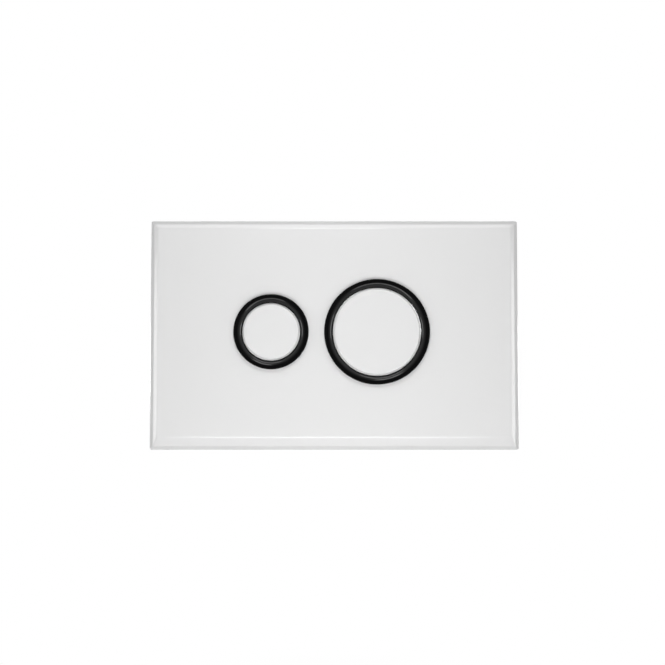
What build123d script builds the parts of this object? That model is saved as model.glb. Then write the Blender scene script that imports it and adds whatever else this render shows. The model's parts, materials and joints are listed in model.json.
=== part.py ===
from build123d import *
import os
from typing import NamedTuple

# Dual-flush wall plate: a white cover with two sprung push buttons in black trim rings, on its wall frame.
# Each piece is drawn with x to the right, y up and z out of the wall, from z = 0 on the wall's face, and is
# stood upright when it is written: +X right, +Z up, the front towards -Y. Sizes are millimetres.

# Cover plate
plate_width = 220.0
plate_height = 137.0
plate_depth = 11.0
front_wall = 2.6
skirt_wall = 2.8
corner_radius = 1.2
bevel_width = 4.8
lower_bevel_width = 7.7
bevel_drop = 1.2
edge_width = 2.2
edge_drop = 2.2
rib_wall = 1.4
rib_height = 3.0
side_rib_inset = 44.0
cross_rib_inset = 18.0

# Trim rings and where they sit on the plate
small_bore = 17.0
large_bore = 26.05
ring_width = 5.4
ring_height = 2.2
ring_slope = 2.4
ring_spacing = 9.2
group_x = -1.55
group_y = 1.7
leg_count = 3
leg_width = 8.0
leg_wall = 1.2
hook_reach = 0.7
hook_height = 1.5

# Collars behind the plate that the buttons stop against
collar_step = 0.3
collar_wall = 1.2
collar_depth = 4.4

# Buttons
button_proud = 1.4
button_wall = 2.2
button_edge = 0.6
button_travel = 6.0
button_leg_count = 3
button_leg_width = 9.0
button_leg_wall = 1.8
button_leg_inset = 0.9
button_rib_wall = 1.4
button_rib_height = 2.5
lug_height = 1.7
stem_radius = 4.8
stem_overrun = 1.5

# Return springs
spring_wire_radius = 0.5
spring_open_turns = 2.5
spring_closed_turns = 0.75
spring_wire_sides = 6
spring_steps_per_turn = 12

# Yokes, their posts on the plate and their screws
yoke_wall = 2.5
yoke_half_width = 10.5
yoke_rib_wall = 1.6
bush_wall = 2.2
bush_length = 4.0
post_width = 6.8
ear_half_width = 5.2
screw_radius = 1.5
screw_length = 9.0
screw_head_flats = 5.5
screw_head_height = 2.0

# Push rods and their lock nuts
rod_radius = 3.0
rod_length = 78.0
rod_engagement = 14.0
rod_nut_flats = 10.0
rod_nut_height = 5.0

# Mounting frame
frame_base = 2.4
frame_corner = 6.0
frame_side_gap = 3.0
window_margin_x = 19.7
window_margin_y = 4.55
rim_wall = 1.6
rim_height = 2.0
catch_width = 12.0
catch_spacing = 84.0
catch_wall = 1.8
ledge_reach = 1.6
ledge_height = 1.4
ledge_rise = 2.2
nose_reach = 1.4
nose_height = 1.6
relief_width = 2.0
relief_depth = 8.0

# Fixing studs and their wing nuts
stud_radius = 3.0
stud_neck_radius = 2.5
stud_length = 50.0
slot_length = 16.0
stud_nut_flats = 9.0
stud_nut_height = 4.0
wing_wall = 1.8
wing_span = 22.0
wing_rise = 1.0
wing_tip = 4.0

# Clearances
button_gap = 0.35
stop_gap = 0.1
bush_gap = 0.15
spring_gap = 0.45
coil_gap = 0.05
seat_gap = 0.05
yoke_gap = 0.7
post_gap = 1.0
leg_gap = 0.1
thread_gap = 0.05
screw_gap = 0.2
slot_gap = 0.3
catch_gap = 0.4
nose_gap = 0.2
stud_proud = 0.8

# Levels along z, from the plate's front to the wall and behind it
ceiling = plate_depth - front_wall
collar_end = ceiling - collar_depth
button_face = plate_depth + button_proud
button_underside = button_face - button_wall
lug_top = collar_end - stop_gap
lug_end = lug_top - lug_height
yoke_front = lug_end - button_travel - yoke_gap
yoke_back = yoke_front - yoke_wall
bush_end = yoke_back - bush_length
stem_end = bush_end - stem_overrun
rod_top = stem_end + rod_engagement
stud_nut_top = frame_base + stud_nut_height

# Radii that fits give
bush_bore = stem_radius + bush_gap
spring_radius = stem_radius + spring_gap + spring_wire_radius
rod_bore = rod_radius + thread_gap
pilot_radius = screw_radius + thread_gap


class Unit(NamedTuple):
    """One button with all that belongs to it: its name, its axis and the bore of its ring."""

    name: str
    x: float
    bore: float

    @property
    def axis(self):
        return Pos(self.x, group_y)

    @property
    def ring_radius(self):
        return self.bore + ring_width

    @property
    def button_radius(self):
        return self.bore - button_gap

    @property
    def collar_bore(self):
        return self.bore + collar_step

    @property
    def collar_radius(self):
        return self.collar_bore + collar_wall

    @property
    def leg_inside(self):
        """Inner side of a ring's leg, with room to spring inwards as its hook passes the plate."""
        return self.collar_radius + hook_reach + leg_gap

    @property
    def leg_outside(self):
        return self.leg_inside + leg_wall

    @property
    def post_y(self):
        return self.leg_outside + hook_reach + post_gap + post_width / 2

    @property
    def posts(self):
        return [Pos(0, y) for y in (-self.post_y, self.post_y)]


group_width = 2 * (small_bore + large_bore + 2 * ring_width) + ring_spacing
small = Unit("small", group_x - group_width / 2 + small_bore + ring_width, small_bore)
large = Unit("large", group_x + group_width / 2 - large_bore - ring_width, large_bore)
units = (small, large)

# Mounting frame: its outline follows the cover's inside, its window what passes through it
frame_half_x = plate_width / 2 - skirt_wall - frame_side_gap
frame_half_y = plate_height / 2 - skirt_wall - ledge_reach - catch_gap
window_half_x = max(abs(unit.x) + unit.collar_radius for unit in units) + window_margin_x
window_half_y = max(unit.post_y for unit in units) + abs(group_y) + ear_half_width + window_margin_y
stud_x = (frame_half_x + window_half_x) / 2
catch_xs = (-catch_spacing / 2, catch_spacing / 2)


def disc(radius, start, end):
    """A round bar along z between two levels."""
    return Pos(0, 0, start) * extrude(Circle(radius), end - start)


def turned(*points):
    """A body turned about z from corners given as radius and level."""
    return revolve(Plane.XZ * make_face(Polyline(*points, close=True)), Axis.Z)


def spoke(profile, width):
    """A radial piece of a width, centred on the x axis, from corners given as radius and level."""
    return extrude(Plane.XZ * make_face(Polyline(*profile, close=True)), width / 2, both=True)


def around(count, first=0.0):
    """Evenly spaced turns about z."""
    return [Rot(0, 0, first + 360 / count * index) for index in range(count)]


def hexagon(flats):
    return RegularPolygon(flats / 2, 6, major_radius=False)


def face_plate():
    """Hollow cover: bevelled front, skirt, ribs, and for each button a collar, leg slots and screw posts."""
    outline = RectangleRounded(plate_width, plate_height, corner_radius)
    edge = RectangleRounded(plate_width - 2 * edge_width, plate_height - 2 * edge_width, corner_radius)
    front_height = plate_height - bevel_width - lower_bevel_width
    front = RectangleRounded(plate_width - 2 * bevel_width, front_height, corner_radius)
    front_y = (lower_bevel_width - bevel_width) / 2
    inside_x = plate_width / 2 - skirt_wall
    inside_y = plate_height / 2 - skirt_wall
    inside = Rectangle(2 * inside_x, 2 * inside_y)
    shoulder = plate_depth - bevel_drop
    sections = [
        outline,
        Pos(0, 0, shoulder - edge_drop) * outline,
        Pos(0, 0, shoulder) * edge,
        Pos(0, front_y, plate_depth) * front,
    ]
    body = loft(sections, ruled=True) - extrude(inside, ceiling)

    rib_start = ceiling - rib_height
    between_x = (small.x + small.ring_radius + large.x - large.ring_radius) / 2
    upright_ribs = (side_rib_inset - plate_width / 2, between_x, plate_width / 2 - side_rib_inset)
    cross_ribs = (cross_rib_inset - plate_height / 2, plate_height / 2 - cross_rib_inset)
    rib_plan = [Pos(x, 0) * Rectangle(rib_wall, 2 * inside_y) for x in upright_ribs]
    rib_plan += [Pos(0, y) * Rectangle(2 * inside_x, rib_wall) for y in cross_ribs]
    body += Pos(0, 0, rib_start) * extrude(Sketch() + rib_plan, rib_height)

    ledge = [
        (inside_y, ledge_rise - ledge_reach),
        (inside_y - ledge_reach, ledge_rise),
        (inside_y - ledge_reach, ledge_rise + ledge_height),
        (inside_y, ledge_rise + ledge_height),
    ]
    for turn in (90, -90):
        body += [Pos(x, 0) * Rot(0, 0, turn) * spoke(ledge, catch_width) for x in catch_xs]

    for unit in units:
        body += unit.axis * disc(unit.collar_radius, collar_end, ceiling)
        square_post = Pos(0, 0, yoke_front) * extrude(Rectangle(post_width, post_width), ceiling - yoke_front)
        body += [unit.axis * post * square_post for post in unit.posts]
        body -= unit.axis * disc(unit.collar_bore, collar_end, plate_depth)
        slot_start = unit.leg_inside - hook_reach
        slot_end = unit.leg_outside + leg_gap
        slot = [
            (slot_start, ceiling),
            (slot_end, ceiling),
            (slot_end, plate_depth),
            (slot_start, plate_depth),
        ]
        body -= [unit.axis * turn * spoke(slot, leg_width + 2 * leg_gap) for turn in around(leg_count)]
        pilot = disc(pilot_radius, yoke_front, yoke_front + screw_length)
        body -= [unit.axis * post * pilot for post in unit.posts]
    return body


def trim_ring(unit):
    """Ring that slopes in towards its button, with hooked legs that snap in behind the plate's front wall."""
    top = plate_depth + ring_height
    body = turned(
        (unit.bore, plate_depth),
        (unit.ring_radius, plate_depth),
        (unit.ring_radius, top),
        (unit.bore + ring_slope, top),
    )
    hook_top = ceiling - leg_gap
    hook_end = hook_top - hook_height
    leg = [
        (unit.leg_inside, plate_depth),
        (unit.leg_inside, hook_end),
        (unit.leg_outside, hook_end),
        (unit.leg_outside + hook_reach, hook_top),
        (unit.leg_outside, hook_top),
        (unit.leg_outside, plate_depth),
    ]
    return unit.axis * (body + [turn * spoke(leg, leg_width) for turn in around(leg_count)])


def button(unit):
    """Cap with a flat face, three ribbed legs with retaining lugs, and a stem bored for the push rod."""
    rim = unit.button_radius
    body = turned(
        (0, button_face),
        (rim - button_edge, button_face),
        (rim, button_face - button_edge),
        (rim, button_underside),
        (stem_radius, button_underside),
        (stem_radius, stem_end),
        (rod_bore, stem_end),
        (rod_bore, rod_top),
        (0, rod_top),
    )
    leg_outside = rim - button_leg_inset
    leg_inside = leg_outside - button_leg_wall
    lug_reach = unit.collar_radius - button_gap
    leg = [
        (leg_inside, button_underside),
        (leg_inside, lug_end),
        (lug_reach, lug_end),
        (lug_reach, lug_top),
        (leg_outside, lug_top),
        (leg_outside, button_underside),
    ]
    rib_start = spring_radius + spring_wire_radius + spring_gap
    rib_end = button_underside - button_rib_height
    rib = [
        (rib_start, button_underside),
        (leg_inside, button_underside),
        (leg_inside, rib_end),
        (rib_start, rib_end),
    ]
    for turn in around(button_leg_count, 180 / button_leg_count):
        body += [turn * spoke(leg, button_leg_width), turn * spoke(rib, button_rib_wall)]
    return unit.axis * body


def wire_rise(turn, height):
    """Height of the spring's wire after some turns: closed at both ends, open between them."""
    closed_pitch = 2 * spring_wire_radius + coil_gap
    closed_height = spring_closed_turns * closed_pitch
    open_pitch = (height - 2 * closed_height) / spring_open_turns
    opened = min(max(turn - spring_closed_turns, 0), spring_open_turns)
    return opened * open_pitch + (turn - opened) * closed_pitch


def return_spring(unit):
    """Coil around the stem, between the yoke and the button."""
    room = spring_wire_radius + seat_gap
    height = button_underside - yoke_front - 2 * room
    turns = spring_open_turns + 2 * spring_closed_turns
    steps = round(turns * spring_steps_per_turn)
    wire = Plane.XZ * RegularPolygon(spring_wire_radius, spring_wire_sides)
    sections = []
    for index in range(steps + 1):
        turn = turns * index / steps
        sections.append(Rot(0, 0, 360 * turn) * Pos(spring_radius, 0, wire_rise(turn, height)) * wire)
    return unit.axis * Pos(0, 0, yoke_front + room) * loft(sections, ruled=True)


def yoke(unit):
    """Bridge behind a button: spring pad, guide bush for the stem, ears on the plate's posts and two ribs."""
    tip = unit.post_y + ear_half_width
    shoulder = (yoke_half_width, yoke_half_width)
    quarter = Polyline((yoke_half_width, 0), shoulder, (ear_half_width, tip), (0, tip))
    outline = quarter + mirror(quarter, Plane.YZ)
    body = Pos(0, 0, yoke_back) * extrude(make_face(outline + mirror(outline, Plane.XZ)), yoke_wall)
    bush_radius = bush_bore + bush_wall
    body += disc(bush_radius, bush_end, yoke_back)
    rib_tip = unit.post_y - screw_head_flats / 2 - screw_gap
    rib = [(bush_bore, yoke_back), (rib_tip, yoke_back), (bush_radius, bush_end), (bush_bore, bush_end)]
    body += [Rot(0, 0, turn) * spoke(rib, yoke_rib_wall) for turn in (90, -90)]
    body -= disc(bush_bore, bush_end, yoke_front)
    body -= [post * disc(screw_radius + screw_gap, yoke_back, yoke_front) for post in unit.posts]
    return unit.axis * body


def yoke_screws(unit):
    """Pair of hex-head screws from behind, through the yoke's ears into the posts."""
    head = Pos(0, 0, yoke_back - screw_head_height) * extrude(hexagon(screw_head_flats), screw_head_height)
    screw = head + disc(screw_radius, yoke_back, yoke_back + screw_length)
    return unit.axis * (Part() + [post * screw for post in unit.posts])


def push_rod(unit):
    """Rod in the stem, which works the flush valve."""
    return unit.axis * disc(rod_radius, rod_top - rod_length, rod_top)


def rod_nut(unit):
    """Lock nut on the push rod, against the stem's end."""
    nut = extrude(hexagon(rod_nut_flats) - Circle(rod_bore), rod_nut_height)
    return unit.axis * Pos(0, 0, stem_end - rod_nut_height) * nut


def mounting_frame():
    """Frame on the wall: a rimmed window for the rods, stud slots, and snap catches for the cover."""
    plan = RectangleRounded(2 * frame_half_x, 2 * frame_half_y, frame_corner)
    window = Rectangle(2 * window_half_x, 2 * window_half_y)
    stud_slot = SlotOverall(slot_length, 2 * (stud_neck_radius + slot_gap), rotation=90)
    plan -= [window] + [Pos(x, 0) * stud_slot for x in (-stud_x, stud_x)]
    relief_x = (catch_width + relief_width) / 2
    relief_y = frame_half_y - relief_depth / 2
    for x in catch_xs:
        for side in (-relief_x, relief_x):
            plan -= [Pos(x + side, y) * Rectangle(relief_width, relief_depth) for y in (-relief_y, relief_y)]
    body = extrude(plan, frame_base)
    rim = Rectangle(2 * (window_half_x + rim_wall), 2 * (window_half_y + rim_wall)) - window
    body += Pos(0, 0, frame_base) * extrude(rim, rim_height)

    nose_start = ledge_rise + ledge_height + nose_gap
    catch = [
        (frame_half_y - catch_wall, 0),
        (frame_half_y, 0),
        (frame_half_y, nose_start),
        (frame_half_y + nose_reach, nose_start),
        (frame_half_y, nose_start + nose_height),
        (frame_half_y - catch_wall, nose_start + nose_height),
    ]
    for turn in (90, -90):
        body += [Pos(x, 0) * Rot(0, 0, turn) * spoke(catch, catch_width) for x in catch_xs]
    return body


def stud(x):
    """Stud with a thinner neck through the frame; its shoulder stops behind the frame."""
    neck = disc(stud_neck_radius, 0, stud_nut_top + stud_proud)
    return Pos(x, 0) * (neck + disc(stud_radius, -stud_length, 0))


def stud_nut(x):
    """Wing nut in front of the frame."""
    body = extrude(hexagon(stud_nut_flats), stud_nut_height)
    half_span = wing_span / 2
    wing = [
        (0, wing_rise),
        (half_span - wing_tip, wing_rise),
        (half_span, stud_nut_height),
        (half_span, stud_nut_height + wing_rise),
        (half_span - wing_tip, stud_nut_height + wing_rise),
        (0, stud_nut_height - wing_rise),
    ]
    body += [Rot(0, 0, turn) * spoke(wing, wing_wall) for turn in (90, -90)]
    body -= disc(stud_neck_radius + thread_gap, 0, stud_nut_height)
    return Pos(x, 0, frame_base) * body


pieces = {
    "face_plate": face_plate(),
    "mounting_frame": mounting_frame(),
    "left_stud": stud(-stud_x),
    "right_stud": stud(stud_x),
    "left_stud_nut": stud_nut(-stud_x),
    "right_stud_nut": stud_nut(stud_x),
}
for unit in units:
    pieces[f"{unit.name}_ring"] = trim_ring(unit)
    pieces[f"{unit.name}_button"] = button(unit)
    pieces[f"{unit.name}_return_spring"] = return_spring(unit)
    pieces[f"{unit.name}_yoke"] = yoke(unit)
    pieces[f"{unit.name}_yoke_screws"] = yoke_screws(unit)
    pieces[f"{unit.name}_push_rod"] = push_rod(unit)
    pieces[f"{unit.name}_rod_nut"] = rod_nut(unit)

os.makedirs("parts", exist_ok=True)
for name, shape in pieces.items():
    export_step(Plane.XZ.location * shape, f"parts/{name}.step")
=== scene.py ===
"""Looks of a dual-flush wall plate: finishes, fine forms and a small studio, round its frame.

Lengths are metres in the frame's own axes: +X to the right, +Z up, and the front towards -Y.
"""

from __future__ import annotations

import json
import logging
import math
from collections.abc import Mapping, Sequence
from dataclasses import dataclass, field
from enum import Enum
from typing import Any, Union

import bmesh
import bpy
from mathutils import Matrix, Vector
from mathutils.geometry import intersect_point_line

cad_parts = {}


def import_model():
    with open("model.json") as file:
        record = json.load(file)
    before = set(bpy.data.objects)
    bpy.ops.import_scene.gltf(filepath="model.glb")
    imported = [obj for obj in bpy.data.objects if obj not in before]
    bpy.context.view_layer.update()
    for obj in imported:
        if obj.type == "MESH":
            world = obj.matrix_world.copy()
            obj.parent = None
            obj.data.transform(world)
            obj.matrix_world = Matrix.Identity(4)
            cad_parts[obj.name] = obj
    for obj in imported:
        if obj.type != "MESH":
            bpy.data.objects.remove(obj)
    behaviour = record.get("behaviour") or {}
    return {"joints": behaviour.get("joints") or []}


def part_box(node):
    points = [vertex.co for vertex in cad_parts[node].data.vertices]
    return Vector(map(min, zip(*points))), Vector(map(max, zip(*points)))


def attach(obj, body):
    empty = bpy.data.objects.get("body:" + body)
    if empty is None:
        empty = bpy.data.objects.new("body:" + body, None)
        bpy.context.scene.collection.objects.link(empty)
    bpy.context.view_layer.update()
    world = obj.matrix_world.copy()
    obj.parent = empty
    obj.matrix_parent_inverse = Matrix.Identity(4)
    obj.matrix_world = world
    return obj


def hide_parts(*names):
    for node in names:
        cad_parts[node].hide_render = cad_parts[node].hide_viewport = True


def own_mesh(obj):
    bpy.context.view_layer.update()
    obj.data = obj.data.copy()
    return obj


log = logging.getLogger("flush_plate")

MM = 0.001
FULL_TURN = 2 * math.pi
QUARTER_TURNS = ((1, 0), (0, 1), (-1, 0), (0, -1))
HEX_SIDES = 6
BAR_FACETS = 32
WORK_CREASE = math.radians(32)
NOISE_MEAN = 0.5
BEVEL_WEIGHT = "bevel_weight_edge"

Colour = tuple[float, float, float]
Point = tuple[float, float, float]
Corner = tuple[float, float]

WHITE: Colour = (1.0, 1.0, 1.0)
PLATE_CENTRE: Point = (0.0, 0.0, 0.0)


class Value:
    """A shader node's output that can stand in arithmetic: each operator adds one Math node."""

    def __init__(self, graph: NodeGraph, socket: bpy.types.NodeSocket | None) -> None:
        """Keep the graph that the node is in, and the node's output."""
        self.graph = graph
        self.socket = socket

    def sibling(self, output: str) -> Value:
        """Another output of the same node."""
        return Value(self.graph, self.socket.node.outputs[output])

    def _math(self, operation: str, first: Input, second: Input) -> Value:
        """Output of a new Math node."""
        return self.graph.add("ShaderNodeMath", {"operation": operation}, {0: first, 1: second})

    def __add__(self, other: Input) -> Value:
        """Sum of two values."""
        return self._math("ADD", self, other)

    def __radd__(self, other: Input) -> Value:
        """Sum of a number and a value."""
        return self._math("ADD", other, self)

    def __sub__(self, other: Input) -> Value:
        """Difference of two values."""
        return self._math("SUBTRACT", self, other)

    def __rsub__(self, other: Input) -> Value:
        """Difference of a number and a value."""
        return self._math("SUBTRACT", other, self)

    def __mul__(self, other: Input) -> Value:
        """Product of two values."""
        return self._math("MULTIPLY", self, other)

    def __rmul__(self, other: Input) -> Value:
        """Product of a number and a value."""
        return self._math("MULTIPLY", other, self)


Input = Union[Value, float, Sequence[float]]


class NodeGraph:
    """The nodes of a material or a world, which are filled in from nothing."""

    def __init__(self, owner: bpy.types.Material | bpy.types.World) -> None:
        """Empty a material's or a world's nodes.

        Args:
            owner: the material or the world.
        """
        owner.use_nodes = True
        self.tree = owner.node_tree
        self.tree.nodes.clear()

    def add(
        self,
        kind: str,
        settings: Mapping[str, Any] | None = None,
        inputs: Mapping[str | int, Input] | None = None,
        output: str | int = 0,
    ) -> Value:
        """Add a node.

        Args:
            kind: the node's type.
            settings: its properties, which are set first.
            inputs: numbers, colours or values for its sockets, by identifier, name or place.
            output: the output that is wanted, by identifier, name or place.

        Returns:
            That output, or an empty value where the node has none.
        """
        node = self.tree.nodes.new(kind)
        for name, setting in (settings or {}).items():
            setattr(node, name, setting)
        for key, given in (inputs or {}).items():
            socket = self._socket(node.inputs, key)
            if isinstance(given, Value):
                self.tree.links.new(given.socket, socket)
            else:
                socket.default_value = given
        return Value(self, self._socket(node.outputs, output) if node.outputs else None)

    @staticmethod
    def _socket(
        sockets: bpy.types.bpy_prop_collection, key: str | int
    ) -> bpy.types.NodeSocket:
        """Find a socket.

        Args:
            sockets: the node's inputs or outputs.
            key: the socket's place, its identifier or its name.

        Returns:
            The socket.
        """
        if isinstance(key, int):
            return sockets[key]
        named = (socket for socket in sockets if socket.identifier == key)
        return next(named, None) or sockets[key]

    def noise(self, place: Value, size: float, detail: float = 2.0) -> Value:
        """Add a soft noise from 0 to 1.

        Args:
            place: where on the piece.
            size: width of its patches, in metres.
            detail: how many finer layers it has.

        Returns:
            The noise's height.
        """
        inputs = {"Vector": place, "Scale": 1 / size, "Detail": detail}
        return self.add("ShaderNodeTexNoise", {}, inputs)

    def blend(self, share: Value, first: Colour, second: Colour) -> Value:
        """Blend two colours.

        Args:
            share: 0 for the first and 1 for the second.
            first: the first colour.
            second: the second colour.

        Returns:
            The blended colour.
        """
        return self.add(
            "ShaderNodeMix",
            {"data_type": "RGBA"},
            {"Factor_Float": share, "A_Color": opaque(first), "B_Color": opaque(second)},
            "Result_Color",
        )

    def stretched(self, place: Value, scale: Point) -> Value:
        """Places drawn out along the axes whose scale is small."""
        return self.add("ShaderNodeMapping", {}, {"Vector": place, "Scale": scale})


def opaque(colour: Colour) -> tuple[float, float, float, float]:
    """A colour with its alpha, which is full."""
    return (*colour, 1.0)


def shade(colour: Colour, factor: float) -> Colour:
    """A colour made lighter or darker."""
    return tuple(part * factor for part in colour)


@dataclass(frozen=True)
class Finish:
    """What every finish has.

    Attributes:
        slot: the record's slot that it fills.
        colour: its mean colour.
        roughness: its mean roughness.
        drift: share by which the colour drifts over patches.
        drift_size: width of those patches.
        spread: how far the roughness varies over smears.
        smear_size: width of those smears.
        smear_detail: how many finer layers the smears have.
    """

    slot: str
    colour: Colour
    roughness: float
    drift: float = 0.015
    drift_size: float = 55 * MM
    spread: float = 0.06
    smear_size: float = 9 * MM
    smear_detail: float = 3.0

    def material(self) -> bpy.types.Material:
        """Give the finish's material, which is made at its first use.

        Returns:
            The material.
        """
        name = f"{self.slot}_finish"
        found = bpy.data.materials.get(name)
        if found:
            return found
        made = bpy.data.materials.new(name)
        made.diffuse_color = opaque(self.colour)
        graph = NodeGraph(made)
        place = graph.add("ShaderNodeTexCoord", output="Object")
        surface = graph.add("ShaderNodeBsdfPrincipled", {}, self.sockets(graph, place))
        graph.add("ShaderNodeOutputMaterial", {}, {"Surface": surface})
        return made

    def sockets(self, graph: NodeGraph, place: Value) -> dict[str, Input]:
        """Work out what feeds the shader.

        Args:
            graph: the material's nodes.
            place: where on the piece, in metres.

        Returns:
            Numbers and values by the shader's socket names.
        """
        cloud = graph.noise(place, self.drift_size)
        smear = graph.noise(place, self.smear_size, self.smear_detail)
        darker, lighter = (shade(self.colour, 1 + way * self.drift) for way in (-1, 1))
        return {
            "Base Color": graph.blend(cloud, darker, lighter),
            "Roughness": self.roughness + self.spread * (smear - NOISE_MEAN),
        }


@dataclass(frozen=True)
class Moulding(Finish):
    """Moulded plastic, on which the mould's fine skin shows as a faint relief.

    Attributes:
        specular: strength of its reflections.
        skin_size: width of the skin's grain.
        skin_depth: depth of that grain.
        glow: share of the light that goes some way under the surface.
        glow_reach: how far that light goes.
    """

    specular: float = 0.5
    skin_size: float = 1.6 * MM
    skin_depth: float = 0.004 * MM
    glow: float = 0.0
    glow_reach: float = 2 * MM

    def sockets(self, graph: NodeGraph, place: Value) -> dict[str, Input]:
        """Add the skin and the gloss of a plastic to what every finish has.

        Args:
            graph: the material's nodes.
            place: where on the piece, in metres.

        Returns:
            Numbers and values by the shader's socket names.
        """
        skin = graph.noise(place, self.skin_size)
        relief = graph.add("ShaderNodeBump", {}, {"Distance": self.skin_depth, "Height": skin})
        return super().sockets(graph, place) | {
            "Specular IOR Level": self.specular,
            "Subsurface Weight": self.glow,
            "Subsurface Scale": self.glow_reach,
            "Normal": relief,
        }


@dataclass(frozen=True)
class PolishedMoulding(Moulding):
    """Moulded plastic with a satin front, whose slopes and sides are polished.

    Attributes:
        polish: weight of the clear gloss on the slopes.
        polish_roughness: how rough that gloss is.
        front_ends: Y part of the outward normal at which the gloss begins; -1 faces the front.
        slope_starts: Y part of the outward normal at which the gloss is full.
    """

    polish: float = 0.6
    polish_roughness: float = 0.12
    front_ends: float = -0.975
    slope_starts: float = -0.87

    def sockets(self, graph: NodeGraph, place: Value) -> dict[str, Input]:
        """Add the polish of the slopes to what a moulding has.

        Args:
            graph: the material's nodes.
            place: where on the piece, in metres.

        Returns:
            Numbers and values by the shader's socket names.
        """
        normal = graph.add("ShaderNodeNewGeometry", output="Normal")
        facing = graph.add("ShaderNodeSeparateXYZ", {}, {"Vector": normal}, "Y")
        slope = graph.add(
            "ShaderNodeMapRange",
            {},
            {
                "Value": facing,
                "From Min": self.front_ends,
                "From Max": self.slope_starts,
                "To Max": self.polish,
            },
        )
        return super().sockets(graph, place) | {
            "Coat Weight": slope,
            "Coat Roughness": self.polish_roughness,
        }


@dataclass(frozen=True)
class Metal(Finish):
    """Plated or drawn steel: fine lines along the piece's length, and a tint that comes and goes.

    Attributes:
        tint: the second colour.
        line_size: distance between the lines.
        line_depth: depth of the lines.
        line_stretch: width of a line over its length.
    """

    tint: Colour = (0.60, 0.58, 0.52)
    line_size: float = 0.35 * MM
    line_depth: float = 0.006 * MM
    line_stretch: float = 0.06

    def sockets(self, graph: NodeGraph, place: Value) -> dict[str, Input]:
        """Add the lines and the tint of a metal to what every finish has.

        Args:
            graph: the material's nodes.
            place: where on the piece, in metres.

        Returns:
            Numbers and values by the shader's socket names.
        """
        lines = graph.noise(
            graph.stretched(place, (1.0, self.line_stretch, 1.0)), self.line_size
        )
        relief = graph.add("ShaderNodeBump", {}, {"Distance": self.line_depth, "Height": lines})
        patches = graph.noise(place, self.smear_size, self.smear_detail)
        common = super().sockets(graph, place)
        return common | {
            "Base Color": graph.blend(patches, self.colour, self.tint),
            "Roughness": common["Roughness"] + self.spread * lines,
            "Metallic": 1.0,
            "Normal": relief,
        }


WHITE_GLOSS = Moulding("white_gloss", (0.80, 0.80, 0.80), 0.19, drift=0.006)
BLACK_GLOSS = PolishedMoulding(
    "black_gloss",
    (0.001, 0.001, 0.0011),
    0.16,
    drift=0.2,
    drift_size=6 * MM,
    specular=0.04,
    skin_size=0.8 * MM,
)
GREY_PLASTIC = Moulding(
    "grey_plastic",
    (0.55, 0.56, 0.57),
    0.48,
    drift=0.03,
    skin_size=0.35 * MM,
    skin_depth=0.012 * MM,
)
FRAME_PLASTIC = Moulding(
    "frame_plastic",
    (0.68, 0.69, 0.69),
    0.50,
    drift=0.02,
    skin_size=0.4 * MM,
    skin_depth=0.014 * MM,
)
ROD_NYLON = Moulding(
    "rod_nylon",
    (0.74, 0.73, 0.68),
    0.42,
    drift=0.03,
    drift_size=12 * MM,
    skin_size=0.5 * MM,
    glow=0.2,
)
NUT_PLASTIC = Moulding(
    "nut_plastic",
    (0.08, 0.08, 0.085),
    0.40,
    drift=0.1,
    skin_size=0.3 * MM,
    skin_depth=0.012 * MM,
)
SPRING_STEEL = Metal("spring_steel", (0.56, 0.56, 0.57), 0.24, tint=(0.50, 0.50, 0.51))
SCREW_STEEL = Metal(
    "screw_steel", (0.62, 0.62, 0.60), 0.30, tint=(0.66, 0.63, 0.54), smear_size=4 * MM
)


class Body(Enum):
    """The frame's bodies."""

    WALL = "wall_unit"
    SMALL = "small_button_group"
    LARGE = "large_button_group"


def placed(name: str, data: bpy.types.ID) -> bpy.types.Object:
    """Put an object in the scene.

    Args:
        name: the object's name.
        data: its mesh, lamp or camera.

    Returns:
        The object.
    """
    made = bpy.data.objects.new(name, data)
    bpy.context.scene.collection.objects.link(made)
    return made


def evaluated(piece: bpy.types.Object) -> bpy.types.Object:
    """A piece as its modifiers leave it."""
    return piece.evaluated_get(bpy.context.evaluated_depsgraph_get())


def gap(place: Vector, start: Vector, end: Vector) -> float:
    """Distance from a place to a straight edge between two ends."""
    share = intersect_point_line(place, start, end)[1]
    return (start.lerp(end, min(max(share, 0.0), 1.0)) - place).length


def rounded(corners: Sequence[Corner], radii: Sequence[float], steps: int) -> list[Corner]:
    """Round the corners of a closed outline.

    Args:
        corners: the outline's corners in order.
        radii: one radius for each corner, 0 where it stays sharp.
        steps: how many runs each arc has.

    Returns:
        The rounded outline's points.
    """
    outline: list[Corner] = []
    for index, (corner, radius) in enumerate(zip(corners, radii)):
        if not radius:
            outline.append(corner)
            continue
        here = Vector(corner)
        back = (Vector(corners[index - 1]) - here).normalized()
        ahead = (Vector(corners[(index + 1) % len(corners)]) - here).normalized()
        half = back.angle(ahead) / 2
        centre = here + (back + ahead).normalized() * radius / math.sin(half)
        start = here + back * radius / math.tan(half) - centre
        end = here + ahead * radius / math.tan(half) - centre
        sweep = start.angle_signed(end)
        for step in range(steps + 1):
            turned = start.copy()
            turned.rotate(Matrix.Rotation(-sweep * step / steps, 2))
            outline.append(tuple(centre + turned))
    return outline


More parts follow.
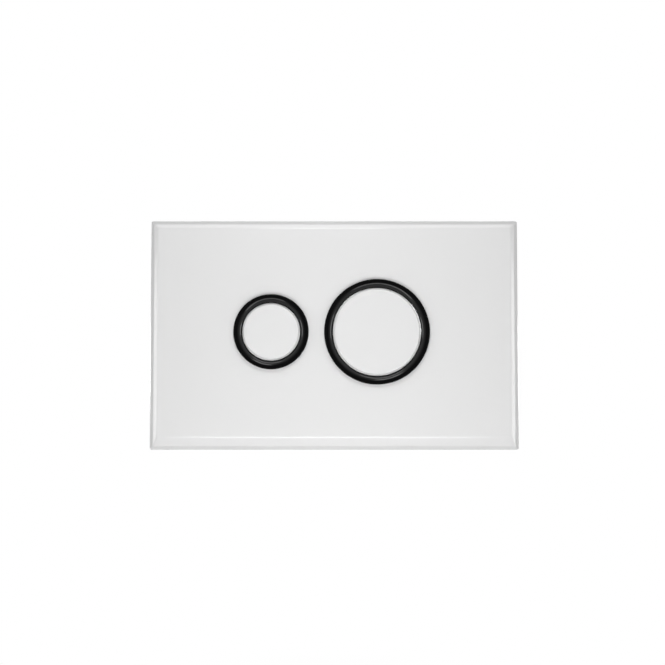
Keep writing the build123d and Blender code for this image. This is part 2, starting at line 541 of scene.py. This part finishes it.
@dataclass(frozen=True)
class Softening:
    """How the edges of a moulded solid are rounded: each as widely as its faces allow.

    Each edge starts with its full share of the width. Where faces then fold over, the shares of
    the edges near the fold shrink, until there is no fold or an edge stays sharp.

    Attributes:
        width: width of the rounding on an edge that has room for it.
        segments: how many facets the rounding of an edge has.
        least_turn: angle between two faces above which their edge is rounded.
        flat_turn: angle up to which neighbouring facets belong to one flat face.
        fold_turn: angle between two faces of the rounding above which they are folded.
        joined_within: distance within which the solid's vertices are joined.
        rounds: how often folds are looked for at most.
        shrink: factor on an edge's share for each round in which it is near a fold.
        fold_reach: how near that is at first, in widths.
        patience: how many rounds it takes until the reach has doubled.
        least_share: share that isn't shrunk further, so that the edge stays sharp instead.
        turned_over: cosine between a triangle and its face below which it is turned over.
        least_edge: length up to which edges are dissolved after the rounding.
        crease: angle above which an edge of the rounded mesh is shaded as an edge.
        corner_turn: angle above which an edge at a leaning corner is shaded as an edge.
        least_facing: cosine between shading and face below which a corner leans.
    """

    width: float
    segments: int = 3
    least_turn: float = math.radians(15)
    flat_turn: float = math.radians(0.3)
    fold_turn: float = math.radians(120)
    joined_within: float = 0.002 * MM
    rounds: int = 40
    shrink: float = 0.5
    fold_reach: float = 1.6
    patience: int = 10
    least_share: float = 0.3
    turned_over: float = -0.2
    least_edge: float = 0.002 * MM
    crease: float = math.radians(50)
    corner_turn: float = math.radians(8)
    least_facing: float = 0.75

    def faces(self, solid: bpy.types.Mesh, name: str) -> bpy.types.Mesh:
        """Copy a solid's mesh with its facets merged into flat faces.

        Args:
            solid: the solid's mesh.
            name: the copy's name.

        Returns:
            The copy, with nothing but its faces.
        """
        mesh = bmesh.new()
        mesh.from_mesh(solid)
        bmesh.ops.remove_doubles(mesh, verts=mesh.verts, dist=self.joined_within)
        bmesh.ops.dissolve_limit(
            mesh, angle_limit=self.flat_turn, verts=mesh.verts, edges=mesh.edges
        )
        mesh.verts.index_update()
        places = [vert.co.copy() for vert in mesh.verts]
        loops = [[vert.index for vert in face.verts] for face in mesh.faces]
        mesh.free()
        data = bpy.data.meshes.new(name)
        data.from_pydata(places, [], loops)
        data.shade_smooth()
        return data

    def apply(self, piece: bpy.types.Object) -> None:
        """Round the edges between a piece's flat faces, and keep the result as its mesh.

        Args:
            piece: the piece, whose mesh has flat faces.
        """
        bevel = piece.modifiers.new("edges", "BEVEL")
        bevel.width = self.width
        bevel.segments = self.segments
        bevel.limit_method = "WEIGHT"
        bevel.use_clamp_overlap = False
        bevel.loop_slide = False
        shading = self._shade(piece)
        self._limit(piece)
        piece.modifiers.remove(shading)
        self._keep(piece)
        self._shade(piece)
        self._crease_corners(piece)

    @staticmethod
    def _shade(piece: bpy.types.Object) -> bpy.types.Modifier:
        """Let the shading follow a piece's large faces and stop at its sharp edges.

        Args:
            piece: the piece.

        Returns:
            The modifier that does it.
        """
        shading = piece.modifiers.new("shading", "WEIGHTED_NORMAL")
        shading.keep_sharp = True
        return shading

    def _limit(self, piece: bpy.types.Object) -> None:
        """Shrink the rounding of edges near folds, until no face of a piece folds over.

        Args:
            piece: the piece with its rounding.
        """
        ends = self._sharp_edges(piece.data)
        shares = dict.fromkeys(ends, 1.0)
        weights = piece.data.attributes.new(BEVEL_WEIGHT, "FLOAT", "EDGE")
        for turn in range(self.rounds):
            for index, share in shares.items():
                weights.data[index].value = share
                piece.data.edges[index].use_edge_sharp = not share
            piece.data.update()
            folds = self._folds(piece)
            if not folds:
                break
            reach = self.fold_reach * self.width * (1 + turn / self.patience)
            for index, (start, end) in ends.items():
                if any(gap(fold, start, end) < reach for fold in folds):
                    share = shares[index]
                    shares[index] = share * self.shrink if share > self.least_share else 0.0
        sharp = list(shares.values()).count(0.0)
        log.info("%s: %d edges stay sharp, %d folds", piece.name, sharp, len(folds))

    def _sharp_edges(self, data: bpy.types.Mesh) -> dict[int, tuple[Vector, Vector]]:
        """Find the edges that turn.

        Args:
            data: a mesh with flat faces.

        Returns:
            Both ends of each such edge, by the edge's number.
        """
        mesh = bmesh.new()
        mesh.from_mesh(data)
        turned = {
            edge.index: (edge.verts[0].co.copy(), edge.verts[1].co.copy())
            for edge in mesh.edges
            if edge.calc_face_angle(0.0) > self.least_turn
        }
        mesh.free()
        return turned

    def _folds(self, piece: bpy.types.Object) -> list[Vector]:
        """Find where the rounded faces of a piece fold over.

        Args:
            piece: the piece with its rounding.

        Returns:
            The middles of folded edges, and the corners of triangles that are turned over.
        """
        shaped = evaluated(piece)
        data = shaped.to_mesh()
        mesh = bmesh.new()
        mesh.from_mesh(data)
        folds = [
            (edge.verts[0].co + edge.verts[1].co) / 2
            for edge in mesh.edges
            if edge.calc_face_angle(math.pi) > self.fold_turn
        ]
        mesh.free()
        data.calc_loop_triangles()
        for triangle in data.loop_triangles:
            shading = [data.corner_normals[loop].vector for loop in triangle.loops]
            face = data.polygons[triangle.polygon_index].normal
            if min(triangle.normal.dot(normal) for normal in (face, *shading)) < self.turned_over:
                folds += [data.vertices[index].co.copy() for index in triangle.vertices]
        shaped.to_mesh_clear()
        return folds

    def _keep(self, piece: bpy.types.Object) -> None:
        """Make the rounded shape a piece's own mesh.

        Args:
            piece: the piece with its rounding.
        """
        kept = bpy.data.meshes.new_from_object(evaluated(piece))
        piece.modifiers.clear()
        kept.name = piece.name
        mesh = bmesh.new()
        mesh.from_mesh(kept)
        bmesh.ops.dissolve_degenerate(mesh, dist=self.least_edge, edges=mesh.edges)
        mesh.to_mesh(kept)
        mesh.free()
        kept.set_sharp_from_angle(angle=self.crease)
        piece.data = kept

    def _crease_corners(self, piece: bpy.types.Object) -> None:
        """Crease the corners at which the smooth shading would lean too far from a face.

        Args:
            piece: the rounded and shaded piece.
        """
        shaped = evaluated(piece)
        data = shaped.to_mesh()
        leaning = {
            data.loops[loop].vertex_index
            for face in data.polygons
            for loop in face.loop_indices
            if data.corner_normals[loop].vector.dot(face.normal) < self.least_facing
        }
        shaped.to_mesh_clear()
        mesh = bmesh.new()
        mesh.from_mesh(piece.data)
        for edge in mesh.edges:
            turned = edge.calc_face_angle(0.0) > self.corner_turn
            if turned and any(vert.index in leaning for vert in edge.verts):
                edge.smooth = False
        mesh.to_mesh(piece.data)
        mesh.free()


def dress(node: str, body: Body, finish: Finish, softening: Softening) -> None:
    """Show a CAD solid as a moulding with rounded edges and a finish.

    Args:
        node: the solid's name.
        body: the body that carries it.
        finish: what it is made of.
        softening: how its edges are rounded.
    """
    name = f"{node}_moulding"
    data = softening.faces(bpy.data.objects[node].data, name)
    data.materials.append(finish.material())
    piece = placed(name, data)
    softening.apply(piece)
    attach(piece, body.value)
    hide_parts(node)
    log.info("%s: rounded solid in %s", piece.name, finish.slot)


@dataclass(frozen=True)
class Thread:
    """A screw thread on a bar.

    Attributes:
        crest: radius of its crest.
        root: radius of the bar.
        pitch: rise of one turn.
        crest_share: width of the crest over the pitch.
        foot_share: width of the ridge's foot over the pitch.
        sink: how deep the foot lies in the bar.
        fade_turns: turns over which the ridge fades at each end.
        steps: how many facets one turn has.
    """

    crest: float
    root: float
    pitch: float
    crest_share: float = 0.16
    foot_share: float = 0.86
    sink: float = 0.03 * MM
    fade_turns: float = 0.75
    steps: int = 28


@dataclass(frozen=True)
class HexHead:
    """A hexagonal screw head with a cross recess.

    Attributes:
        flats: distance between two opposite sides.
        height: height of the head.
        chamfer: how far its top edge is chamfered.
        recess_reach: length of the cross's arms from the axis.
        recess_width: width of the arms.
        recess_depth: depth of the cross.
        recess_taper: size of the cross at its floor over that at its mouth.
    """

    flats: float
    height: float
    chamfer: float
    recess_reach: float
    recess_width: float
    recess_depth: float
    recess_taper: float = 0.55


@dataclass
class Workpiece:
    """A mesh in the making round an axis along Y, at some x and z."""

    x: float
    z: float
    mesh: bmesh.types.BMesh = field(default_factory=bmesh.new)

    @classmethod
    def around(cls, node: str) -> tuple[Workpiece, Vector, Vector]:
        """Start on the axis of a CAD solid.

        Args:
            node: the solid's name.

        Returns:
            The workpiece, and the solid's lowest and highest corners.
        """
        low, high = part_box(node)
        return cls((low.x + high.x) / 2, (low.z + high.z) / 2), low, high

    def point(self, radius: float, angle: float, y: float) -> Vector:
        """A place given by its distance from the axis, its angle and its level."""
        return Vector((self.x + radius * math.cos(angle), y, self.z + radius * math.sin(angle)))

    def ring(self, radius: float, y: float, count: int) -> list[Vector]:
        """Evenly spaced places on a circle round the axis."""
        return [self.point(radius, FULL_TURN * index / count, y) for index in range(count)]

    def verts(self, places: Sequence[Vector]) -> list[bmesh.types.BMVert]:
        """New vertices at some places."""
        return [self.mesh.verts.new(place) for place in places]

    def band(
        self, row: Sequence[bmesh.types.BMVert], following: Sequence[bmesh.types.BMVert]
    ) -> None:
        """Lay quads between two closed rows.

        Args:
            row: the first row's vertices.
            following: the second row's vertices, as many as the first has.
        """
        for index in range(len(row)):
            quad = (row[index - 1], row[index], following[index], following[index - 1])
            self.mesh.faces.new(quad)

    def cover(self, rows: Sequence[Sequence[Vector]], capped: bool = True) -> None:
        """Lay quads over closed rows of points.

        Args:
            rows: the rows, each as long as the others and closed on itself.
            capped: whether the first and the last row get a face, or else are joined.
        """
        made = [self.verts(row) for row in rows]
        pairs = list(zip(made, made[1:]))
        if capped:
            self.mesh.faces.new(made[0])
            self.mesh.faces.new(made[-1])
        else:
            pairs.append((made[-1], made[0]))
        for row, following in pairs:
            self.band(row, following)

    def turn(self, profile: Sequence[Corner], count: int, capped: bool = True) -> None:
        """Turn a profile about the axis.

        Args:
            profile: its points as radius and level.
            count: how many facets go round.
            capped: whether the profile ends in two flat faces, or else is closed on itself.
        """
        self.cover([self.ring(radius, y, count) for radius, y in profile], capped)

    def spoke(self, profile: Sequence[Corner], width: float, angle: float) -> None:
        """Add a radial piece.

        Args:
            profile: its outline as distance from the axis and level.
            width: how wide it is, across the radius.
            angle: its direction from the axis.
        """
        across = Vector((-math.sin(angle), 0.0, math.cos(angle))) * width / 2
        outline = [self.point(radius, angle, y) for radius, y in profile]
        self.cover([[place + across for place in outline], [place - across for place in outline]])

    def thread(self, thread: Thread, start: float, end: float) -> None:
        """Wind a thread's ridge round a bar.

        Args:
            thread: its sizes.
            start: level of its first crest.
            end: level of its last crest.
        """
        turns = (end - start) / thread.pitch
        count = round(turns * thread.steps)
        foot = thread.root - thread.sink
        half_foot = thread.foot_share * thread.pitch / 2
        half_crest = thread.crest_share * thread.pitch / 2
        rows = []
        for index in range(count + 1):
            turn = turns * index / count
            fade = min(1.0, turn / thread.fade_turns, (turns - turn) / thread.fade_turns)
            crest = thread.root + (thread.crest - thread.root) * max(fade, 0.0)
            y = start + thread.pitch * turn
            section = (
                (foot, -half_foot),
                (crest, -half_crest),
                (crest, half_crest),
                (foot, half_foot),
            )
            angle = FULL_TURN * turn
            rows.append([self.point(radius, angle, y + rise) for radius, rise in section])
        self.cover(rows)

    def bar(self, thread: Thread, start: float, end: float, chamfer: float) -> None:
        """Add a bar with a thread from end to end.

        Args:
            thread: the thread's sizes.
            start: level of one end.
            end: level of the other end.
            chamfer: how far the ends are chamfered.
        """
        core, tip = thread.root, thread.root - chamfer
        profile = [(tip, start), (core, start + chamfer), (core, end - chamfer), (tip, end)]
        self.turn(profile, BAR_FACETS)
        self.thread(thread, start + thread.pitch, end - thread.pitch)

    def head(self, head: HexHead, seat: float) -> None:
        """Add a hexagonal head with a cross recess that opens to +Y.

        Args:
            head: its sizes.
            seat: level of its underside.
        """
        corner = head.flats / math.sqrt(3)
        top = seat + head.height
        profile = [(corner, seat), (corner, top - head.chamfer), (corner - head.chamfer, top)]
        hexagon = [self.verts(self.ring(radius, y, HEX_SIDES)) for radius, y in profile]
        self.mesh.faces.new(hexagon[0])
        for row, following in zip(hexagon, hexagon[1:]):
            self.band(row, following)

        half, floor = head.recess_width / 2, top - head.recess_depth
        arm = [(half, half), (half, head.recess_reach), (-half, head.recess_reach)]
        cross = [
            (u * cosine - v * sine, u * sine + v * cosine)
            for cosine, sine in QUARTER_TURNS
            for u, v in arm
        ]
        mouth_row, floor_row = (
            self.verts([Vector((self.x + u * size, y, self.z + v * size)) for u, v in cross])
            for size, y in ((1.0, top), (head.recess_taper, floor))
        )
        self.mesh.faces.new(floor_row)
        self.band(mouth_row, floor_row)

        rims = [
            self.mesh.edges.get((row[index - 1], row[index]))
            for row in (hexagon[-1], mouth_row)
            for index in range(len(row))
        ]
        bmesh.ops.triangle_fill(self.mesh, use_beauty=True, edges=rims)

    def piece(self, name: str, finish: Finish, body: Body, *nodes: str) -> bpy.types.Object:
        """Turn the mesh into a piece that rides on a body and stands for CAD solids.

        Args:
            name: the piece's name.
            finish: what it is made of.
            body: the body that carries it.
            nodes: the CAD solids that it stands for.

        Returns:
            The piece.
        """
        bmesh.ops.recalc_face_normals(self.mesh, faces=self.mesh.faces)
        for face in self.mesh.faces:
            face.smooth = True
        for edge in self.mesh.edges:
            edge.smooth = edge.calc_face_angle(math.pi) < WORK_CREASE
        data = bpy.data.meshes.new(name)
        self.mesh.to_mesh(data)
        self.mesh.free()
        data.materials.append(finish.material())
        made = placed(name, data)
        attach(made, body.value)
        if nodes:
            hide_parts(*nodes)
        log.info("%s: built in %s, for %s", name, finish.slot, ", ".join(nodes) or "no solid")
        return made


@dataclass(frozen=True)
class CoverPlate:
    """The white cover with its bevelled margin."""

    node: str = "face_plate"
    edge: Softening = Softening(0.45 * MM, 4, math.radians(10))

    def build(self) -> None:
        """Dress the cover."""
        dress(self.node, Body.WALL, WHITE_GLOSS, self.edge)


@dataclass(frozen=True)
class ButtonUnit:
    """One button with its ring, spring, yoke, screws, push rod and lock nut.

    The first three fields are the unit's name, the body of its button and the joint that moves it.
    """

    name: str
    body: Body
    joint: Mapping[str, Any]

    # Rounding of the moulded pieces
    button_edge: Softening = Softening(0.14 * MM, 3)
    yoke_edge: Softening = Softening(0.3 * MM, 2, joined_within=0.06 * MM)
    nut_edge: Softening = Softening(0.35 * MM, 2)

    # Trim ring and its legs
    ring_width: float = 5.4 * MM
    ring_slope: float = 2.4 * MM
    ring_height: float = 2.2 * MM
    ring_facets: int = 180
    ring_round: float = 0.5 * MM
    slope_round: float = 5.5 * MM
    lip_round: float = 0.12 * MM
    ring_arc_steps: int = 6
    leg_count: int = 3
    leg_inset: float = 2.3 * MM
    leg_wall: float = 1.2 * MM
    leg_width: float = 8.0 * MM
    hook_reach: float = 0.7 * MM
    hook_height: float = 1.5 * MM

    # Guide rim behind the cap
    cap_thickness: float = 2.2 * MM
    rim_reach: float = 0.15 * MM
    rim_depth: float = 1.0 * MM
    rim_height: float = 0.6 * MM
    rim_round: float = 0.1 * MM
    rim_arc_steps: int = 3

    # Return spring
    wire_radius: float = 0.5 * MM
    wire_facets: int = 12
    coil_facets: int = 40
    open_turns: float = 2.5
    closed_turns: float = 0.75
    coil_gap: float = 0.05 * MM
    spring_seat: float = 4.5 * MM

    # Yoke screws and push rod
    screw_thread: Thread = Thread(1.5 * MM, 1.2 * MM, 0.8 * MM, steps=20)
    screw_head: HexHead = HexHead(5.5 * MM, 2.0 * MM, 0.3 * MM, 1.7 * MM, 0.8 * MM, 1.2 * MM)
    screw_facets: int = 24
    screw_tip_share: float = 0.7
    rod_thread: Thread = Thread(3.0 * MM, 2.5 * MM, 1.0 * MM)
    rod_chamfer: float = 0.6 * MM

    def node(self, piece: str) -> str:
        """Name of one of the unit's solids or pieces."""
        return f"{self.name}_{piece}"

    def build(self) -> None:
        """Build and dress all of the unit."""
        self.trim_ring()
        dress(self.node("button"), self.body, WHITE_GLOSS, self.button_edge)
        self.guide_rim()
        self.return_spring()
        dress(self.node("yoke"), Body.WALL, GREY_PLASTIC, self.yoke_edge)
        self.yoke_screws()
        self.push_rod()
        dress(self.node("rod_nut"), self.body, ROD_NYLON, self.nut_edge)

    def trim_ring(self) -> None:
        """Black ring with a rounded front that slopes in to the button, and hooked legs behind."""
        work, low, high = Workpiece.around(self.node("ring"))
        radius = (high.x - low.x) / 2
        bore = radius - self.ring_width
        front, base = low.y, low.y + self.ring_height
        corners = [(bore, base), (radius, base), (radius, front), (bore + self.ring_slope, front)]
        radii = [self.lip_round, 0.0, self.ring_round, self.slope_round]
        outline = rounded(corners, radii, self.ring_arc_steps)
        work.turn(outline, self.ring_facets, capped=False)

        inside = bore + self.leg_inset
        outside = inside + self.leg_wall
        hook = high.y - self.hook_height
        root = (base + front) / 2
        leg = [
            (inside, root),
            (inside, high.y),
            (outside, high.y),
            (outside + self.hook_reach, hook),
            (outside, hook),
            (outside, root),
        ]
        for index in range(self.leg_count):
            work.spoke(leg, self.leg_width, FULL_TURN * index / self.leg_count)
        work.piece(self.node("trim_ring"), BLACK_GLOSS, Body.WALL, self.node("ring"))

    def guide_rim(self) -> None:
        """Low rim round the back of the cap, which guides it and closes the gap to the ring."""
        work, low, high = Workpiece.around(self.node("ring"))
        bore = (high.x - low.x) / 2 - self.ring_width
        edge = bore + self.rim_reach
        root = edge - self.rim_depth
        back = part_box(self.node("button"))[0].y + self.cap_thickness
        front = back - self.rim_height
        corners = [(root, back), (edge, back), (edge, front), (root, front)]
        radii = [0.0, self.rim_round, self.rim_round, 0.0]
        outline = rounded(corners, radii, self.rim_arc_steps)
        work.turn(outline, self.ring_facets, capped=False)
        work.piece(self.node("guide_rim"), WHITE_GLOSS, self.body)

    def return_spring(self) -> None:
        """Round wire spring with closed ends."""
        work, low, high = Workpiece.around(self.node("return_spring"))
        wire = self.wire_radius
        coil = (high.x - low.x) / 2 - wire
        height = high.y - low.y - 2 * wire
        closed_pitch = 2 * wire + self.coil_gap
        open_pitch = (height - 2 * self.closed_turns * closed_pitch) / self.open_turns
        turns = self.open_turns + 2 * self.closed_turns
        count = round(turns * self.coil_facets)
        section = [FULL_TURN * facet / self.wire_facets for facet in range(self.wire_facets)]
        rows = []
        for index in range(count + 1):
            turn = turns * index / count
            opened = min(max(turn - self.closed_turns, 0.0), self.open_turns)
            y = high.y - wire - opened * open_pitch - (turn - opened) * closed_pitch
            angle = -FULL_TURN * turn
            rows.append(
                [
                    work.point(coil + wire * math.cos(around), angle, y + wire * math.sin(around))
                    for around in section
                ]
            )
        work.cover(rows)
        spring = work.piece(
            self.node("spring_wire"), SPRING_STEEL, Body.WALL, self.node("return_spring")
        )
        joint = self.joint
        travel = joint["range_m"][1]
        length = self.spring_seat - low.y
        1 - travel / length
        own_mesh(spring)

    def yoke_screws(self) -> None:
        """Two screws whose heads show behind the yoke."""
        low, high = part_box(self.node("yoke_screws"))
        head, thread = self.screw_head, self.screw_thread
        tip, seat = low.y, high.y - head.height
        shank = [
            (thread.root * self.screw_tip_share, tip),
            (thread.root, tip + thread.pitch),
            (thread.root, seat),
        ]
        x = (low.x + high.x) / 2
        for place, z in (("lower", low.z + head.flats / 2), ("upper", high.z - head.flats / 2)):
            work = Workpiece(x, z)
            work.head(head, seat)
            work.turn(shank, self.screw_facets)
            work.thread(thread, tip + thread.pitch, seat - thread.pitch)
            work.piece(
                self.node(f"{place}_screw"), SCREW_STEEL, Body.WALL, self.node("yoke_screws")
            )

    def push_rod(self) -> None:
        """Threaded nylon rod with chamfered ends."""
        work, low, high = Workpiece.around(self.node("push_rod"))
        work.bar(self.rod_thread, low.y, high.y, self.rod_chamfer)
        work.piece(self.node("threaded_rod"), ROD_NYLON, self.body, self.node("push_rod"))


@dataclass(frozen=True)
class WallMount:
    """The frame on the wall with its studs and wing nuts."""

    frame_edge: Softening = Softening(0.3 * MM, 2)
    nut_edge: Softening = Softening(0.4 * MM, 3)
    stud_thread: Thread = Thread(3.0 * MM, 2.5 * MM, 1.0 * MM)
    neck_thread: Thread = Thread(2.5 * MM, 2.1 * MM, 0.8 * MM)
    chamfer: float = 0.6 * MM
    wall: float = 0.0

    def build(self) -> None:
        """Build and dress the frame, the studs and the nuts."""
        dress("mounting_frame", Body.WALL, FRAME_PLASTIC, self.frame_edge)
        for side in ("left", "right"):
            self.stud(f"{side}_stud")
            dress(f"{side}_stud_nut", Body.WALL, NUT_PLASTIC, self.nut_edge)

    def stud(self, node: str) -> None:
        """Threaded stud with a thinner neck through the frame.

        Args:
            node: the CAD solid that it stands for.
        """
        work, low, high = Workpiece.around(node)
        work.bar(self.stud_thread, self.wall, high.y, self.chamfer)
        work.bar(self.neck_thread, low.y, self.wall + self.chamfer, self.chamfer)
        work.piece(node.replace("stud", "threaded_stud"), SCREW_STEEL, Body.WALL, node)


@dataclass(frozen=True)
class Softbox:
    """A soft rectangular lamp that points at a place and isn't seen itself."""

    name: str
    place: Point
    width: float
    height: float
    watts: float
    aim: Point = PLATE_CENTRE

    def hang(self) -> None:
        """Put the lamp in the scene."""
        lamp = bpy.data.lights.new(self.name, "AREA")
        lamp.shape = "RECTANGLE"
        lamp.size = self.width
        lamp.size_y = self.height
        lamp.energy = self.watts
        made = placed(self.name, lamp)
        beam = Vector(self.aim) - Vector(self.place)
        made.location = self.place
        made.rotation_euler = beam.to_track_quat("-Z", "Y").to_euler()
        made.visible_camera = False


# The back lamps are low and level with the plate, so that they don't show in its top face
LAMPS = (
    Softbox("front_lamp", (0.0, -1.2, 0.0), 1.2, 0.9, 0.5),
    Softbox("upper_lamp", (-0.006, -0.25, 0.18), 0.10, 0.06, 0.235),
    Softbox("lower_lamp", (0.0, -0.28, -0.145), 0.26, 0.05, 0.42),
    Softbox("top_strip", (0.0, -0.21, 0.41), 0.40, 0.06, 0.33, aim=(0.0, 0.0, 0.066)),
    Softbox("left_strip", (-0.54, -0.256, -0.025), 0.05, 0.26, 0.35, aim=(-0.108, 0.0, -0.02)),
    Softbox("right_strip", (0.54, -0.256, -0.025), 0.05, 0.26, 0.35, aim=(0.108, 0.0, -0.02)),
    Softbox("back_left_lamp", (-0.45, 0.8, 0.0), 0.9, 0.12, 3.4),
    Softbox("back_right_lamp", (0.5, 0.8, 0.0), 0.9, 0.12, 2.8),
)


@dataclass(frozen=True)
class Studio:
    """White surroundings, soft lamps and the photograph's camera."""

    # Light on the object, and how bright the surroundings look
    ambient: float = 0.19
    seen_white: float = 1.0

    # Floor
    floor_level: float = -0.26
    floor_half: float = 4.0
    floor_colour: Colour = (0.86, 0.86, 0.86)
    floor_white: float = 0.8
    shadow_core: float = 0.2
    shadow_reach: float = 0.4

    # Camera
    lens: float = 58.92
    sensor: float = 36.0
    distance: float = 0.65
    elevation: float = math.radians(-2.85)
    aim: Point = (-1.04 * MM, -9.4 * MM, 1.36 * MM)

    def build(self) -> None:
        """Set up the surroundings, the lamps and the camera."""
        bpy.context.scene.view_settings.view_transform = "Standard"
        self.surroundings()
        self.floor()
        for lamp in LAMPS:
            lamp.hang()
        self.camera()

    @staticmethod
    def seen(graph: NodeGraph) -> Value:
        """A mask that is 1 for what the camera sees, also in a reflection or through glass."""
        rays = graph.add("ShaderNodeLightPath", output="Is Camera Ray")
        return rays + rays.sibling("Is Glossy Ray") + rays.sibling("Is Transmission Ray")

    def surroundings(self) -> None:
        """White to look at, and an even light of a set strength on the object."""
        world = bpy.data.worlds.new("surroundings")
        bpy.context.scene.world = world
        graph = NodeGraph(world)
        light, ground = (
            graph.add("ShaderNodeBackground", {}, {"Color": opaque(WHITE), "Strength": strength})
            for strength in (self.ambient, self.seen_white)
        )
        mixed = graph.add("ShaderNodeMixShader", {}, {0: self.seen(graph), 1: light, 2: ground})
        graph.add("ShaderNodeOutputWorld", {}, {"Surface": mixed})

    def floor(self) -> None:
        """Pale floor that keeps the object's shadow, and turns to plain white away from it."""
        half, level = self.floor_half, self.floor_level
        data = bpy.data.meshes.new("floor")
        sides = ((-half, -half), (half, -half), (half, half), (-half, half))
        data.from_pydata([(x, y, level) for x, y in sides], [], [(0, 1, 2, 3)])
        data.materials.append(self.floor_material())
        placed("floor", data)

    def floor_material(self) -> bpy.types.Material:
        """Make the floor's material.

        Returns:
            The material.
        """
        material = bpy.data.materials.new("floor_white")
        graph = NodeGraph(material)
        place = graph.add("ShaderNodeTexCoord", output="Object")
        away = graph.add(
            "ShaderNodeMapRange",
            {"interpolation_type": "SMOOTHSTEP"},
            {
                "Value": graph.add(
                    "ShaderNodeVectorMath", {"operation": "LENGTH"}, {0: place}, "Value"
                ),
                "From Min": self.shadow_core,
                "From Max": self.shadow_reach,
                "To Min": self.floor_white,
                "To Max": self.seen_white,
            },
        )
        paint = graph.add("ShaderNodeBsdfDiffuse", {}, {"Color": opaque(self.floor_colour)})
        glow = graph.add("ShaderNodeEmission", {}, {"Strength": self.seen_white})
        share = self.seen(graph) * away
        mixed = graph.add("ShaderNodeMixShader", {}, {0: share, 1: paint, 2: glow})
        graph.add("ShaderNodeOutputMaterial", {}, {"Surface": mixed})
        return material

    def camera(self) -> None:
        """The photograph's view: square on, from slightly below."""
        data = bpy.data.cameras.new("photo_camera")
        data.lens = self.lens
        data.sensor_width = self.sensor
        camera = placed("photo_camera", data)
        back = Vector((0.0, -math.cos(self.elevation), math.sin(self.elevation)))
        camera.location = Vector(self.aim) + back * self.distance
        camera.rotation_euler = (-back).to_track_quat("-Z", "Y").to_euler()
        bpy.context.scene.camera = camera


def main() -> None:
    """Build the part's looks round the frame, and the studio round the part."""
    logging.basicConfig(level=logging.INFO, format="%(name)s: %(message)s")
    joints = {joint["child"]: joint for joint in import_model()["joints"]}
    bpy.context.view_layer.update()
    CoverPlate().build()
    for name, body in (("small", Body.SMALL), ("large", Body.LARGE)):
        ButtonUnit(name, body, joints[body.value]).build()
    WallMount().build()
    Studio().build()


if __name__ == "__main__":
    main()
